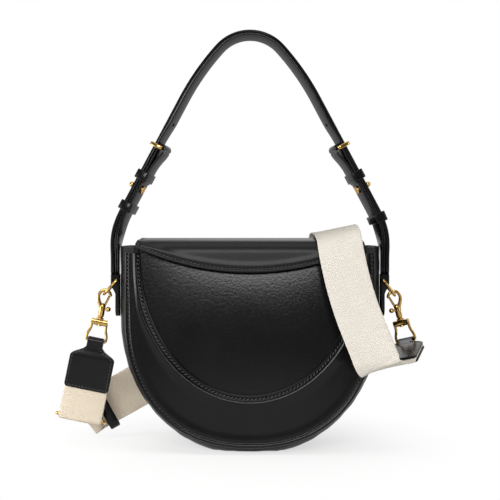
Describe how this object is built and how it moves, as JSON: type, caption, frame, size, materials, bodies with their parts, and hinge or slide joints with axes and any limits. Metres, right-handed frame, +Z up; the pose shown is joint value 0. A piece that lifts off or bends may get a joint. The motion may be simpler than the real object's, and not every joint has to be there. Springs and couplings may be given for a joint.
{
  "type": "crescent bag",
  "caption": "Half-moon leather shoulder bag with a flap, a buckled top handle and a wide clip-on webbing strap draped over it.",
  "frame": {"origin": "middle of the flat base that the bag stands on", "axes": "+Z up, +Y from the front panel to the back panel, +X to the right as seen from the front"},
  "size_m": [0.3126, 0.1147, 0.3548],
  "materials": {
    "black_leather": "smooth satin grain",
    "cream_webbing": "ribbed weave",
    "gold_brass": "polished pale gold",
    "lining_cloth": "plain cotton",
    "snap_steel": "satin"
  },
  "bodies": {
    "bag": {"front_panel": "black_leather", "front_crescent": "black_leather", "back_panel": "black_leather", "gusset": "black_leather", "lining_front": "lining_cloth", "lining_back": "lining_cloth", "lining_gusset": "lining_cloth", "inner_pocket": "lining_cloth", "flap_hinge_strip": "black_leather", "snap_socket": "snap_steel", "handle_anchor_left": "black_leather", "handle_anchor_right": "black_leather", "end_tab_left": "black_leather", "end_tab_right": "black_leather", "strap_webbing_short": "cream_webbing", "strap_webbing_front": "cream_webbing", "strap_webbing_rear": "cream_webbing", "strap_ring": "gold_brass"},
    "flap": {"flap": "black_leather", "snap_stud": "snap_steel"},
    "handle": {"handle_strap": "black_leather", "handle_tab_left": "black_leather", "handle_tab_right": "black_leather", "upper_keeper_left": "black_leather", "upper_keeper_right": "black_leather", "strap_stud_left": "gold_brass", "strap_stud_right": "gold_brass", "stud_screw_left": "gold_brass", "stud_screw_right": "gold_brass"},
    "buckle_left": {"buckle_left": "gold_brass"},
    "buckle_right": {"buckle_right": "gold_brass"},
    "lower_keeper_left": {"lower_keeper_left": "black_leather"},
    "lower_keeper_right": {"lower_keeper_right": "black_leather"},
    "d_ring_left": {"d_ring_left": "gold_brass"},
    "d_ring_right": {"d_ring_right": "gold_brass"},
    "clasp_loop_left": {"clasp_loop_left": "gold_brass"},
    "clasp_loop_right": {"clasp_loop_right": "gold_brass"},
    "hook_left": {"hook_left": "gold_brass", "trigger_pin_left": "gold_brass"},
    "hook_right": {"hook_right": "gold_brass", "trigger_pin_right": "gold_brass"},
    "trigger_left": {"trigger_left": "gold_brass"},
    "trigger_right": {"trigger_right": "gold_brass"},
    "strap_slider": {"strap_slider": "gold_brass"},
    "strap_keeper": {"strap_keeper": "black_leather"}
  },
  "joints": [
    {"name": "flap_hinge", "type": "hinge", "parent": "bag", "child": "flap", "pos_m": [0, 0.02125, 0.1742], "axis": [-1, 0, 0], "range_deg": [0, 50], "deforming": ["strap_webbing_front"]},
    {"name": "handle_swing", "type": "hinge", "parent": "bag", "child": "handle", "pos_m": [0, 0, 0.152], "axis": [1, 0, 0], "range_deg": [-60, 60]},
    {"name": "buckle_rock_left", "type": "hinge", "parent": "handle", "child": "buckle_left", "pos_m": [-0.07298, -0.00135, 0.25271], "axis": [0.302, 0.9397, -0.1606], "range_deg": [-10, 10]},
    {"name": "buckle_rock_right", "type": "hinge", "parent": "handle", "child": "buckle_right", "pos_m": [0.07298, -0.00135, 0.25271], "axis": [0.302, -0.9397, 0.1606], "range_deg": [-10, 10]},
    {"name": "lower_keeper_slide_left", "type": "slide", "parent": "handle", "child": "lower_keeper_left", "axis": [0.4695, 0, 0.8829], "range_m": [-0.003, 0.003]},
    {"name": "lower_keeper_slide_right", "type": "slide", "parent": "handle", "child": "lower_keeper_right", "axis": [-0.3952, 0, 0.9186], "range_m": [-0.003, 0.003]},
    {"name": "d_ring_swing_left", "type": "hinge", "parent": "bag", "child": "d_ring_left", "pos_m": [-0.11235, 0, 0.1423], "axis": [0, 1, 0], "range_deg": [-4, 0]},
    {"name": "d_ring_swing_right", "type": "hinge", "parent": "bag", "child": "d_ring_right", "pos_m": [0.11235, 0, 0.1423], "axis": [0, -1, 0], "range_deg": [-4, 0]},
    {"name": "clasp_loop_swing_left", "type": "hinge", "parent": "bag", "child": "clasp_loop_left", "pos_m": [-0.13148, 0, 0.08964], "axis": [0.9799, 0, -0.1994], "range_deg": [-3.5, 3.5]},
    {"name": "clasp_loop_swing_right", "type": "hinge", "parent": "bag", "child": "clasp_loop_right", "pos_m": [0.13329, 0, 0.0893], "axis": [0.8721, -0.4226, 0.2468], "range_deg": [-2.5, 0]},
    {"name": "hook_swivel_left", "type": "hinge", "parent": "clasp_loop_left", "child": "hook_left", "pos_m": [-0.1238, 0, 0.12736], "axis": [0.1994, 0, 0.9799], "range_deg": [-12, 12]},
    {"name": "hook_swivel_right", "type": "hinge", "parent": "clasp_loop_right", "child": "hook_right", "pos_m": [0.1228, 0, 0.12634], "axis": [-0.2723, 0, 0.9622], "range_deg": [-12, 12]},
    {"name": "trigger_press_left", "type": "hinge", "parent": "hook_left", "child": "trigger_left", "pos_m": [-0.12558, 0, 0.1166], "axis": [0, -1, 0], "range_deg": [0, 9], "stiffness_Nm_per_rad": 0.02},
    {"name": "trigger_press_right", "type": "hinge", "parent": "hook_right", "child": "trigger_right", "pos_m": [0.12539, 0, 0.11574], "axis": [0, 1, 0], "range_deg": [0, 9], "stiffness_Nm_per_rad": 0.02},
    {"name": "slider_slide", "type": "slide", "parent": "bag", "child": "strap_slider", "axis": [-0.8756, 0.0375, -0.4816], "range_m": [-0.02, 0.02], "deforming": ["strap_webbing_rear"]},
    {"name": "strap_keeper_slide", "type": "slide", "parent": "bag", "child": "strap_keeper", "axis": [-0.8722, -0.1272, -0.4724], "range_m": [-0.008, 0.008], "deforming": ["strap_webbing_rear"]}
  ]
}
